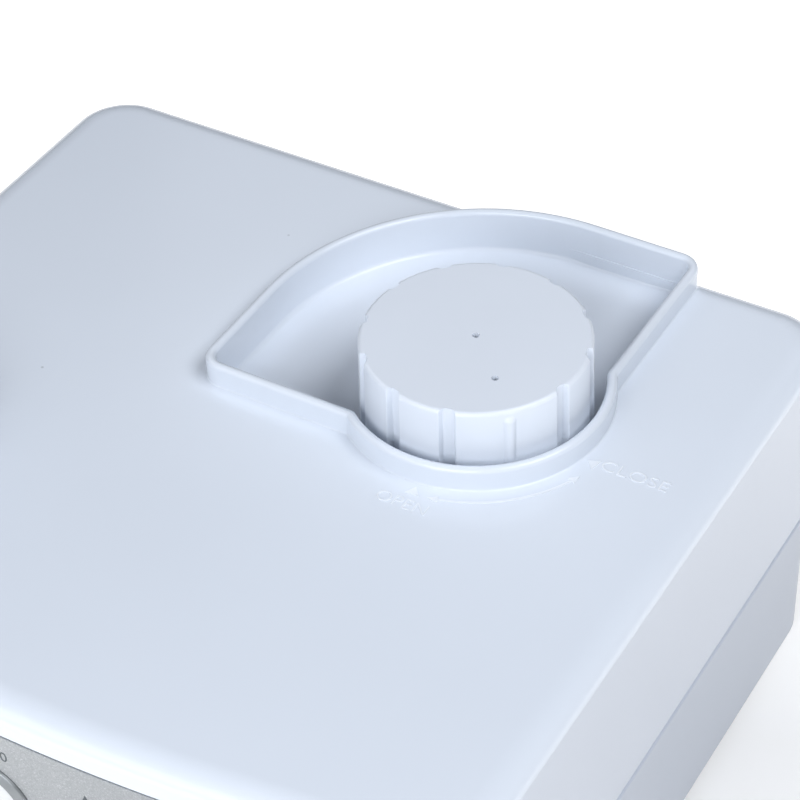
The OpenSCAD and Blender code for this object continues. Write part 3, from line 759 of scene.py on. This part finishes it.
def tank_outline(inset):
    """Outline of the tank behind the console, moved in by inset."""
    side, front = TANK_HIGH.x - inset, TANK_LOW.y + inset
    back_r, front_r = CORNER_R - TANK_GAP - inset, max(TANK_FRONT_R - inset, 0.2)
    corner_x, corner_y = TANK_HIGH.x - CORNER_R + TANK_GAP, TANK_HIGH.y - CORNER_R + TANK_GAP
    front_x, front_y = side - front_r, front + front_r
    return (
        arc(front_x, front_y, front_r, 270, 360, 5)
        + arc(corner_x, corner_y, back_r, 0, 90, 24)
        + arc(-corner_x, corner_y, back_r, 90, 180, 24)
        + arc(-front_x, front_y, front_r, 180, 270, 5)
    )


def tank_walls():
    """The tank's walls and floor, with round holes for the mist duct and the valve."""
    shell = Shell()
    low, high = TANK_LOW.z, TANK_HIGH.z
    edge = 0.9
    holes = [(DUCT_X, DUCT_Y, DUCT_HOLE), (VALVE_X, VALVE_Y, VALVE_HOLE)]
    rings = []
    for across, up in round_profile(edge, 270, 360):
        rings.append(shell.level(tank_outline(edge - across), low + edge + up))
    for across, up in round_profile(edge, 0, 90):
        rings.append(shell.level(tank_outline(edge - across), high - edge + up))
    rings.append(shell.level(tank_outline(TANK_T), high))
    rings.append(shell.level(tank_outline(TANK_T), low + TANK_T))
    shell.skin(rings)
    loops = [circle(*hole) for hole in holes]
    shell.sheet(tank_outline(edge), loops, lambda x, y: (x, y, low))
    shell.sheet(tank_outline(TANK_T), loops, lambda x, y: (x, y, low + TANK_T))
    for loop in loops:
        shell.skin([shell.level(loop, low), shell.level(loop, low + TANK_T)])
    # The walls take the darker copy of the white plastic, which paints shade onto the sides
    return finish(shell.make("tank_walls"), "tank", "white_gloss", "tank_shell", "tank_floor",
                  material=SHADED_SATIN_WHITE)


# ---- Base ----

def base_shell():
    """The base's outer wall: low round the tank, tall round the console, with a recess for the panel."""
    shell = Shell()
    low = HOUSING_LOW.z
    edge, wall, panel_gap = 0.8, 3.4, 0.3
    panel_x = PANEL_HIGH.x + panel_gap
    panel_z = PANEL_LOW.z - panel_gap
    recess = 1.8

    def outline(inset, drawn_in=0.0):
        loop = split_at(split_at(plan(inset), 1, [CONSOLE_BACK]), 0, [-panel_x, panel_x])
        if not drawn_in:
            return loop
        deeper = split_at(split_at(plan(drawn_in), 1, [CONSOLE_BACK]), 0, [-panel_x, panel_x])
        return [q if abs(p[0]) < panel_x and p[1] < 0 else p for p, q in zip(loop, deeper)]

    def top(y):
        return HOUSING_HIGH.z if y < CONSOLE_BACK else SEAM_Z

    def raised(points, drop):
        return shell.ring([(x, y, top(y) - drop) for x, y in points])

    rings = [shell.level(outline(wall), low), shell.level(outline(edge), low)]
    for across, up in round_profile(edge, 270, 360, 4)[1:]:
        rings.append(shell.level(outline(edge - across), low + edge + up))
    rings.append(shell.level(outline(0), panel_z))
    rings.append(shell.level(outline(0, recess), panel_z))
    for across, up in round_profile(edge, 0, 90, 4):
        rings.append(raised(outline(edge - across, max(recess, edge - across)), edge - up))
    rings.append(raised(outline(wall), 0))
    shell.skin(rings)
    shell.strip(rings[-1], rings[0])
    piece = shell.make("base_shell")
    deep = 12.0
    flange_x, flange_z, grille_gap = 2.8, 1.8, 0.4
    cutters = [
        slot_mesh(INLET_LOW.x + flange_x, INLET_HIGH.x - flange_x,
                  INLET_LOW.z + flange_z, INLET_HIGH.z - flange_z, BACK_Y - deep, BACK_Y + 1, 1.5),
        slot_mesh(GRILLE_LOW.x - grille_gap, GRILLE_HIGH.x + grille_gap,
                  GRILLE_LOW.z - grille_gap, GRILLE_HIGH.z + grille_gap, BACK_Y - deep, BACK_Y + 1, 1.0),
        rod_mesh(DIAL_X, DIAL_Z, SHAFT_HOLE_R, FRONT_Y - 1, FRONT_Y + deep),
        rod_mesh(MIST_X, DIAL_Z, SHAFT_HOLE_R, FRONT_Y - 1, FRONT_Y + deep),
        rod_mesh(BUTTON_X, BUTTON_Z, BUTTON_R, FRONT_Y - 1, FRONT_Y + deep),
        *[rod_mesh(BUTTON_X, z, LENS_R, FRONT_Y - 1, FRONT_Y + deep) for z in LENS_Z],
    ]
    carve(piece, cutters)
    # The base takes the darker copy of the white plastic: painted shade on the lower sides
    return finish(piece, "base", "white_gloss", "base_housing", material=SHADED_BASE_WHITE)


def bow_y(x, depth=0.0):
    """Y of the bowed front at x, depth behind its face."""
    return BOW_Y - math.sqrt((BOW_R - depth) ** 2 - x * x)


def silver_front():
    """The bowed silver panel, with eased edges and holes for the controls."""
    shell = Shell()
    t = 1.5
    ease = 0.35
    low, high, half = PANEL_LOW.z, PANEL_HIGH.z, PANEL_HIGH.x
    holes = [(DIAL_X, DIAL_Z, DIAL_R), (MIST_X, DIAL_Z, MIST_R), (BUTTON_X, BUTTON_Z, BUTTON_R)]
    holes += [(BUTTON_X, z, LENS_R) for z in LENS_Z]

    def frame_loop(inset):
        x, z0, z1, r = half - inset, low + inset, high - inset, 1.2 - inset
        across = 48
        return (
            line((-x + r, z0), (x - r, z0), across) + arc(x - r, z0 + r, r, 270, 360, 4)
            + line((x, z0 + r), (x, z1 - r), 2)[1:] + arc(x - r, z1 - r, r, 0, 90, 4)
            + line((x - r, z1), (-x + r, z1), across)[1:] + arc(-x + r, z1 - r, r, 90, 180, 4)
            + line((-x, z1 - r), (-x, z0 + r), 2)[1:] + arc(-x + r, z0 + r, r, 180, 270, 4)[:-1]
        )

    def bent(points, depth):
        return shell.ring([(x, bow_y(x, depth), z) for x, z in points])

    def hole_loop(hole, inset):
        return circle(hole[0], hole[1], hole[2] + inset, 96 if hole[2] > 5 else 32)

    steps = round_profile(ease, 0, 90, 3)
    loops = [frame_loop] + [lambda inset, hole=hole: hole_loop(hole, inset) for hole in holes]
    for loop in loops:
        rings = [bent(loop(0), t)]
        rings += [bent(loop(ease - across), ease - up) for across, up in steps]
        shell.skin(rings)
    columns = [[(x, low + ease), (x, high - ease)] for x in range(-120, 121, 5)]
    for depth, inset in ((0, ease), (t, 0)):
        shell.sheet(loops[0](inset), [loop(inset) for loop in loops[1:]],
                    lambda x, z, depth=depth: (x, bow_y(x, depth), z), rings=columns)
    return finish(shell.make("silver_front"), "base", "silver_panel", "front_panel")


# ---- Dials ----

def knob(name, node, face_node, body, r):
    """A dial with a rounded grey ring and, set into it, a crowned ivory face."""
    low, high = cad(node)
    depth = high.y - low.y
    centre = (middle(node).x, high.y, DIAL_Z)
    seat, ring_w, lip = 1.2, 2.8, 1.0
    bore = r - ring_w
    ring = [(0, depth - seat), (bore, depth - seat)]
    ring += [(bore, depth - 0.3), (bore + 0.15, depth - 0.08), (bore + 0.4, depth)]
    ring += [(r - 1.6 - lip + across, depth - lip + up) for across, up in round_profile(lip, 90, 45, 3)]
    ring += [(r - 0.5, depth - 1.25), (r - 0.15, depth - 1.6), (r, depth - 2.1), (r, 0.4), (r - 0.4, 0)]
    ring += [(0, 0)]
    finish(turned(name, ring, centre, axis="Y"), body, "dial_grey", node)
    inner, seated, sunk, crown_drop = bore - 0.12, depth - seat + 0.02, 0.05, 0.07
    crown = [(0, seated), (inner, seated), (inner, depth - 0.34), (inner - 0.3, depth - 0.12)]
    crown += [(inner * k / 8, depth - sunk - crown_drop * (k / 8) ** 2) for k in range(7, 0, -1)]
    crown += [(0, depth - sunk)]
    finish(turned(name + "_face", crown, centre, axis="Y"), body, "dial_ivory", face_node)


def printed(name, words, at, turn, width, height, proud, body, slot, material, thin=0.0):
    """Lettering as a thin raised mesh, fitted to a width and height in millimetres."""
    curve = bpy.data.curves.new(name, "FONT")
    curve.body = words
    curve.offset = -thin
    curve.resolution_u = 5
    text = bpy.data.objects.new(name, curve)
    bpy.context.scene.collection.objects.link(text)
    graph = bpy.context.evaluated_depsgraph_get()
    flat = bpy.data.meshes.new_from_object(text.evaluated_get(graph))
    bpy.data.objects.remove(text)
    work = bmesh.new()
    work.from_mesh(flat)
    bmesh.ops.remove_doubles(work, verts=work.verts, dist=1e-5)
    xs = [v.co.x for v in work.verts]
    ys = [v.co.y for v in work.verts]
    for v in work.verts:
        x = ((v.co.x - min(xs)) / (max(xs) - min(xs)) - 0.5) * width
        y = ((v.co.y - min(ys)) / (max(ys) - min(ys)) - 0.5) * height
        v.co = Vector((x, y, -proud))
    grown = bmesh.ops.extrude_face_region(work, geom=work.faces[:])["geom"]
    for v in grown:
        if isinstance(v, bmesh.types.BMVert):
            v.co.z = proud
    bmesh.ops.recalc_face_normals(work, faces=work.faces)
    bmesh.ops.transform(work, matrix=Matrix.Diagonal((MM, MM, MM, 1)), verts=work.verts)
    bmesh.ops.transform(work, matrix=Matrix.Translation(Vector(at) * MM) @ turn.to_4x4(), verts=work.verts)
    work.to_mesh(flat)
    work.free()
    piece = bpy.data.objects.new(name, flat)
    bpy.context.scene.collection.objects.link(piece)
    soften(piece)
    return finish(piece, body, slot, material=material)


def raised(name, outlines, proud, place, body, slot, material):
    """Flat closed outlines raised as one thin piece; place(x, y, lift) gives each point."""
    shell = Shell()
    for outline in outlines:
        low = shell.ring([place(x, y, -proud) for x, y in outline])
        high = shell.ring([place(x, y, proud) for x, y in outline])
        shell.strip(low, high)
        shell.sheet(outline, [], lambda x, y: place(x, y, proud))
        shell.sheet(outline, [], lambda x, y: place(x, y, -proud), flip=True)
    return finish(shell.make(name), body, slot, material=material)


def facing_front(x):
    """Rotation that lays lettering on the bowed front at x, reading upright from outside."""
    tilt = math.asin(x / BOW_R)
    return Matrix.Rotation(tilt, 3, "Z") @ Matrix.Rotation(math.radians(90), 3, "X")


def round_band(radius, wide, start, end, n=24):
    """Outline of a curved band about the origin; angles in degrees from -Y towards +X."""
    outer = arc(0, 0, radius + wide / 2, start - 90, end - 90, n)
    inner = arc(0, 0, radius - wide / 2, end - 90, start - 90, n)
    return outer + inner


def around(radius, angle, shape):
    """A small outline placed at a radius and angle; its x runs along the arc, its y outwards."""
    a = math.radians(angle)
    return [((radius + y) * math.sin(a) + x * math.cos(a), -(radius + y) * math.cos(a) + x * math.sin(a))
            for x, y in shape]


# ---- Fill cap ----

def fill_cap():
    """The screw cap: grooves and a rib round its side, a rounded top edge and two pinholes."""
    round_r, side_foot = 1.5, CAP_R + 0.6
    groove_half, groove_floor, groove_end = 2.3, CAP_R - 1.9, CAP_TOP - 0.8
    rib_r, rib_at, rib_end = 2.3, CAP_R - 1.1, CAP_TOP - 4.5
    skirt_r, roof_z, roof_fillet = 33.4, CAP_TOP - 3.5, 1.0
    foot_round, foot_wide, foot_ease = 0.4, 1.6, 0.3
    ease, end_high = 1.0, 1.2
    vent_r, vent_at = 1.2, 21.5

    # Columns of points: close together over each groove and rib, wider apart between them
    near = [-3.2, -2.85, -2.7, -2.55, -2.4, -2.25, -2.1, -1.95, -1.8, -1.4, -0.7]
    reach, pitch = -near[0], 2 * math.pi * CAP_R / CAP_GRIPS
    angles = []
    for k in range(CAP_GRIPS):
        middle_angle = RIB_ANGLE + 360 / CAP_GRIPS * k
        for u in near + [0.0] + [-v for v in reversed(near)]:
            angles.append((k, middle_angle, u))
        for step in range(1, 8):
            angles.append((k, middle_angle, reach + (pitch - 2 * reach) * step / 8))

    def radius(k, u, z, r):
        if k == 0 and abs(u) < rib_r:
            up = max(0.0, z - rib_end)
            bulge = rib_r * rib_r - u * u - up * up
            if bulge > 0:
                return max(r, rib_at + math.sqrt(bulge))
        elif k and abs(u) < 3.0:
            up = max(0.0, z - groove_end) / end_high
            half = groove_half * math.sqrt(max(0.0, 1.0 - up * up))
            if half > 0.05:
                blend = min(max((half + ease / 2 - abs(u)) / ease, 0.0), 1.0)
                blend = blend * blend * (3 - 2 * blend)
                return r + (min(r, groove_floor) - r) * blend
        return r

    shell = Shell()
    rings = []

    def turned_ring(z, r, grips=True):
        points = []
        for k, middle_angle, u in angles:
            a = math.radians(middle_angle) + u / CAP_R
            far = radius(k, u, z, r) if grips else r
            points.append((CAP_X + far * math.cos(a), CAP_Y + far * math.sin(a), z))
        rings.append(shell.ring(points))

    edge_z = CAP_TOP - round_r

    def side(z):
        return side_foot + (CAP_R - side_foot) * (z - CAP_BOTTOM) / (edge_z - CAP_BOTTOM)

    turned_ring(roof_z, skirt_r - roof_fillet, grips=False)
    for across, up in round_profile(roof_fillet, 90, 0, 3):
        turned_ring(roof_z - roof_fillet + up, skirt_r - roof_fillet + across, grips=False)
    turned_ring(CAP_BOTTOM + foot_ease, skirt_r, grips=False)
    turned_ring(CAP_BOTTOM, skirt_r + foot_ease, grips=False)
    turned_ring(CAP_BOTTOM, side_foot - foot_wide, grips=False)
    for across, up in round_profile(foot_round, 270, 360, 3):
        turned_ring(CAP_BOTTOM + foot_round + up, side_foot - foot_round + across)
    z = CAP_BOTTOM + 4
    while z < rib_end:
        turned_ring(z, side(z))
        z += 4
    for below_top in (4.5, 4.1, 3.7, 3.4, 3.1, 2.9, 2.5, 2.1, 1.8):
        z = CAP_TOP - below_top
        turned_ring(z, side(z))
    for across, up in round_profile(round_r, 0, 90, 12):
        turned_ring(edge_z + up, CAP_R - round_r + across)
    shell.skin(rings)

    turn = math.radians(RIB_ANGLE)
    side_vent = (CAP_X + vent_at * math.cos(turn), CAP_Y + vent_at * math.sin(turn))
    holes = [circle(CAP_X, CAP_Y, vent_r, 24), circle(*side_vent, vent_r, 24)]
    for ring, z, flip in ((rings[-1], CAP_TOP, False), (rings[0], roof_z, True)):
        outline = [shell.points[k][:2] for k in ring]
        shell.sheet(outline, holes, lambda x, y, z=z: (x, y, z), flip=flip)
    for hole in holes:
        shell.skin([shell.level(hole, roof_z), shell.level(hole, CAP_TOP)])
    return finish(shell.make("fill_cap_shell", sharp=50), "cap", "cap_white", "fill_cap")


# ---- Lettering and marks ----

def deck_marks():
    """Raised words, a two-ended arrow and two index marks round the fill cap."""
    proud, letter_high = 0.22, 4.4
    flat = Matrix.Identity(3)
    # The words take the lighter copy of the white plastic: painted highlight on their relief
    for name, words, x, y, width in (("word_open", "OPEN", 3.9, -54.8, 17.4),
                                     ("word_close", "CLOSE", 62.0, -10.4, 23.0)):
        printed(name, words, (CAP_X + x, CAP_Y + y, DECK_Z), flat, width, letter_high, proud,
                "tank", "white_gloss", PAINTED_HIGHLIGHT_WHITE, thin=0.012)
    arrow_r, start, end, head_at = 50.3, 11.0, 68.5, 4.0
    band_wide, band_stop = 0.7, head_at + 0.08
    index_r, index_angles = 48.9, (5.4, 76.5)
    head = [(0, -1.5), (0, 1.5), (-3.4, 0)]
    tip = [(0, 1.5), (0, -1.5), (3.4, 0)]
    index = [(-2.4, 1.6), (2.4, 1.6), (0, -1.9)]
    outlines = [round_band(arrow_r, band_wide, start + band_stop, end - band_stop)]
    outlines += [around(arrow_r, start + head_at, head), around(arrow_r, end - head_at, tip)]
    outlines += [around(index_r, angle, index) for angle in index_angles]
    # The arrow and index marks take the same lighter white: painted highlight on their relief
    raised("turn_arrow", outlines, proud, lambda x, y, lift: (CAP_X + x, CAP_Y + y, DECK_Z + lift),
           "tank", "white_gloss", PAINTED_HIGHLIGHT_WHITE)


def front_marks():
    """Printed numbers round the humidity dial, a swelling band round the mist dial and small signs."""
    proud = 0.06

    def on_front(x, z, lift=0.0):
        return (x, bow_y(x) - lift, z)

    def clock(x, z, r, angle):
        """A point on the front at a radius and an angle from 12 o'clock."""
        a = math.radians(angle)
        return (x + r * math.sin(a), z + r * math.cos(a))

    scale_r, scale_start, scale_step = 23.6, -102, 60
    for k, value in enumerate((20, 40, 60, 80)):
        x, z = clock(DIAL_X, DIAL_Z, scale_r, scale_start + scale_step * k)
        printed(f"dial_{value}", str(value), on_front(x, z), facing_front(x), 5.4, 4.0, proud,
                "base", "dial_grey", PRINT_GREY)
    band_r, thin, swell, reach = 17.2, 0.4, 1.3, 120
    angles = range(-reach, reach + 1, 6)
    band = [clock(MIST_X, DIAL_Z, band_r, a) for a in angles]
    band += [clock(MIST_X, DIAL_Z, band_r + thin + swell * (a + reach) / (2 * reach), a)
             for a in reversed(angles)]
    raised("mist_band", [band], proud, on_front, "base", "dial_grey", PRINT_GREY)
    drop = arc(DROP_X, DROP_Z - 4.2, 1.7, 160, 380, 16) + [(DROP_X, DROP_Z)]
    raised("drop_mark", [drop], proud, on_front, "base", "dial_grey", PRINT_GREY)
    power = round_band(2.2, 0.55, 215, 505, 20)
    bar = [(-0.28, 0.6), (0.28, 0.6), (0.28, 3.1), (-0.28, 3.1)]
    face = cad("power_button")[0].y
    raised("power_sign", [power, bar], 0.08, lambda x, z, lift: (BUTTON_X + x, face - lift, BUTTON_Z + z),
           "button", "dial_grey", PRINT_GREY)


# ---- Soft edges on the CAD pieces that stay ----

def eased(width, *names):
    """Small rounds on the edges of CAD nodes, width in millimetres."""
    for name in names:
        obj = frame["nodes"][name]
        bevel = obj.modifiers.new("eased", "BEVEL")
        bevel.width = width * MM
        bevel.segments = 3
        bevel.limit_method = "ANGLE"
        bevel.angle_limit = math.radians(40)
        bevel.harden_normals = True


# ---- Floor, light and camera ----

LIGHT_COLOUR = (0.95, 0.985, 1.05)
LIGHT_TARGET = (0.02, 0.0, 0.1)

# Name, place and size in metres, power in watts
LIGHTS = [
    ("front", (0.261, -1.365, 0.9), (1.0, 0.8), 14.3),
    ("right", (0.938, 0.0, 1.411), (1.0, 0.8), 15.0),
    ("front_left", (-0.635, -1.135, 1.018), (1.0, 0.8), 4.1),
    ("back", (-0.236, 1.452, 1.132), (1.6, 0.8), 2.4),
    ("left", (-1.206, 0.0, 1.128), (1.0, 0.8), 2.3),
]


def area_light(name, place, size, power):
    """A soft rectangular light turned towards the object."""
    data = bpy.data.lights.new(name, "AREA")
    data.shape = "RECTANGLE"
    data.size, data.size_y = size
    data.energy = power
    data.color = LIGHT_COLOUR
    obj = bpy.data.objects.new(name, data)
    obj.location = place
    obj.rotation_euler = (Vector(LIGHT_TARGET) - Vector(place)).to_track_quat("-Z", "Y").to_euler()
    bpy.context.scene.collection.objects.link(obj)


def white_world():
    """A white backdrop that is seen but doesn't light the object."""
    world = bpy.data.worlds.new("studio")
    world.use_nodes = True
    background = world.node_tree.nodes["Background"]
    background.inputs["Color"].default_value = (0.97, 0.98, 1.0, 1)
    background.inputs["Strength"].default_value = 0.9
    bpy.context.scene.world = world
    world.cycles_visibility.diffuse = False
    world.cycles_visibility.glossy = False


def pale_floor():
    """White paper that glows more away from the object's front right corner, which stays in shade."""
    half = 5.0
    glow_centre, glow_start, glow_end = (0.22, -0.14, 0), 0.22, 1.72
    near_glow, mid_glow, far_glow = (0.06,) * 3, (0.64,) * 3, (0.9,) * 3
    mesh = bpy.data.meshes.new("floor")
    corners = [(-half, -half, 0), (half, -half, 0), (half, half, 0), (-half, half, 0)]
    mesh.from_pydata(corners, [], [(0, 1, 2, 3)])
    floor = bpy.data.objects.new("floor", mesh)
    bpy.context.scene.collection.objects.link(floor)
    material, tree, shader = nodes_of("floor_paper")
    paper = [(0.3, (0.955, 0.935, 0.90)), (0.7, (0.975, 0.955, 0.92))]
    tree.links.new(ramp(tree, noise(tree, 3.0), paper), shader.inputs["Base Color"])
    shader.inputs["Roughness"].default_value = 0.9
    shader.inputs["Emission Color"].default_value = (1, 1, 1, 1)
    far = tree.nodes.new("ShaderNodeVectorMath")
    far.operation = "DISTANCE"
    far.inputs[1].default_value = glow_centre
    tree.links.new(object_coordinates(tree), far.inputs[0])
    glow = ramp(tree, remap(tree, far.outputs["Value"], 0, 1, glow_start, glow_end),
                [(0.0, near_glow), (0.13, mid_glow), (1.0, far_glow)])
    tree.links.new(glow, shader.inputs["Emission Strength"])
    mesh.materials.append(material)


def studio():
    bpy.context.scene.view_settings.view_transform = "Standard"
    white_world()
    pale_floor()
    for light in LIGHTS:
        area_light(*light)


def camera():
    """The main view: turned to the right of the front and looking down on the deck."""
    azimuth, elevation, roll = (math.radians(a) for a in (31.77, 41.58, -2.42))
    aim = Vector((38.5, 36.0, DECK_Z)) * MM
    distance, sensor, lens = 0.819, 36.0, 114.4
    back = Vector((math.sin(azimuth) * math.cos(elevation), -math.cos(azimuth) * math.cos(elevation),
                   math.sin(elevation)))
    level = Vector((math.cos(azimuth), math.sin(azimuth), 0))
    upright = back.cross(level)
    right = level * math.cos(roll) + upright * math.sin(roll)
    up = back.cross(right)
    data = bpy.data.cameras.new("camera")
    data.sensor_width = sensor
    data.lens = lens
    data.clip_start, data.clip_end = 0.05, 20.0
    obj = bpy.data.objects.new("camera", data)
    turn = Matrix((right, up, back)).transposed().to_4x4()
    obj.matrix_world = Matrix.Translation(aim + back * distance) @ turn
    bpy.context.scene.collection.objects.link(obj)
    bpy.context.scene.camera = obj


camera()
studio()
carry_cad_nodes()
tank_cover()
tank_walls()
base_shell()
silver_front()
knob("humidity_dial", "humidity_knob", "humidity_knob_face", "humidity_dial", DIAL_R - KNOB_GAP)
knob("mist_dial", "mist_knob", "mist_knob_face", "mist_dial", MIST_R - KNOB_GAP)
fill_cap()
deck_marks()
front_marks()
eased(0.5, "mist_nozzle", "nozzle_top", "nozzle_collar", "console_cover", "water_tray",
      "power_inlet", "power_button")
eased(0.3, "intake_grille", "bottom_plate", "valve_body", "cap_plug")
